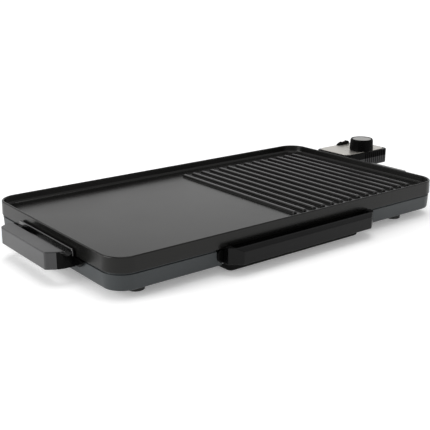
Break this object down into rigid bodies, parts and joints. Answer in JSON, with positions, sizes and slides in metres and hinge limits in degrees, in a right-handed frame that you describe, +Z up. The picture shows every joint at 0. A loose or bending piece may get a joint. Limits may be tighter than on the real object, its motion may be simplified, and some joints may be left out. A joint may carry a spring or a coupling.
{
  "type": "electric griddle",
  "caption": "Rectangular table-top electric griddle, half flat and half ribbed, with a drip tray at the front, side handles and a plug-in thermostat with a dial.",
  "frame": {"origin": "on the table top, under the middle of the whole object's box, handles and thermostat included", "axes": "+X along the long side towards the thermostat, +Y towards the back (the drip tray pulls out to -Y), +Z up"},
  "size_m": [0.613, 0.292, 0.0638],
  "materials": {
    "coated_aluminium": "non-stick coating, dark grey, satin",
    "base_plastic": "moulded plastic, black, satin",
    "black_plastic": "moulded heat-proof plastic, black, satin",
    "tray_coating": "non-stick coating, black",
    "silver_panel": "silver lacquered plastic",
    "black_rubber": "matt",
    "zinc_steel": "bright zinc plated",
    "aluminium_sheet": "mill finish",
    "ceramic": "unglazed steatite",
    "brass": "bright",
    "pilot_red": "clear red lens"
  },
  "bodies": {
    "base": {"cooking_plate": "coated_aluminium", "base_shell": "base_plastic", "left_handle": "black_plastic", "left_handle_cover": "black_plastic", "right_handle": "black_plastic", "right_handle_cover": "black_plastic", "foot_front_left": "black_rubber", "foot_back_left": "black_rubber", "foot_front_right": "black_rubber", "foot_back_right": "black_rubber", "heating_element": "zinc_steel", "element_clamp_front_left": "zinc_steel", "element_clamp_front_right": "zinc_steel", "element_clamp_back_left": "zinc_steel", "element_clamp_back_right": "zinc_steel", "socket_guard": "zinc_steel", "terminal_pin_front": "zinc_steel", "terminal_pin_back": "zinc_steel", "left_handle_screw_front": "zinc_steel", "left_handle_screw_back": "zinc_steel", "right_handle_screw_front": "zinc_steel", "right_handle_screw_back": "zinc_steel", "base_screw_front_left": "zinc_steel", "base_screw_back_left": "zinc_steel", "base_screw_front_right": "zinc_steel", "base_screw_back_right": "zinc_steel", "tray_rail_left": "zinc_steel", "tray_rail_right": "zinc_steel", "heat_reflector": "aluminium_sheet", "probe_block": "aluminium_sheet", "pin_insulator_front": "ceramic", "pin_insulator_back": "ceramic"},
    "drip_tray": {"drip_tray": "tray_coating", "tray_front": "black_plastic", "tray_handle": "black_plastic", "tray_screw_left": "zinc_steel", "tray_screw_right": "zinc_steel"},
    "thermostat": {"controller_case_lower": "black_plastic", "controller_case_upper": "black_plastic", "control_panel": "silver_panel", "pilot_bezel": "black_plastic", "pilot_lens": "pilot_red", "thermostat_switch": "black_plastic", "probe_rod": "zinc_steel", "contact_sleeve_front": "brass", "contact_sleeve_back": "brass", "cord_gland": "black_rubber", "case_screw_inner": "zinc_steel", "case_screw_outer": "zinc_steel"},
    "dial": {"dial_knob": "black_plastic", "dial_cap": "silver_panel", "dial_shaft": "zinc_steel"}
  },
  "joints": [
    {"name": "drip_tray_slide", "type": "slide", "parent": "base", "child": "drip_tray", "axis": [0, -1, 0], "range_m": [0, 0.17]},
    {"name": "thermostat_plug", "type": "slide", "parent": "base", "child": "thermostat", "axis": [1, 0, 0], "range_m": [0, 0.075]},
    {"name": "dial_turn", "type": "hinge", "parent": "thermostat", "child": "dial", "pos_m": [0.2615, 0.049, 0.0468], "axis": [0, 0, -1], "range_deg": [0, 270]}
  ]
}
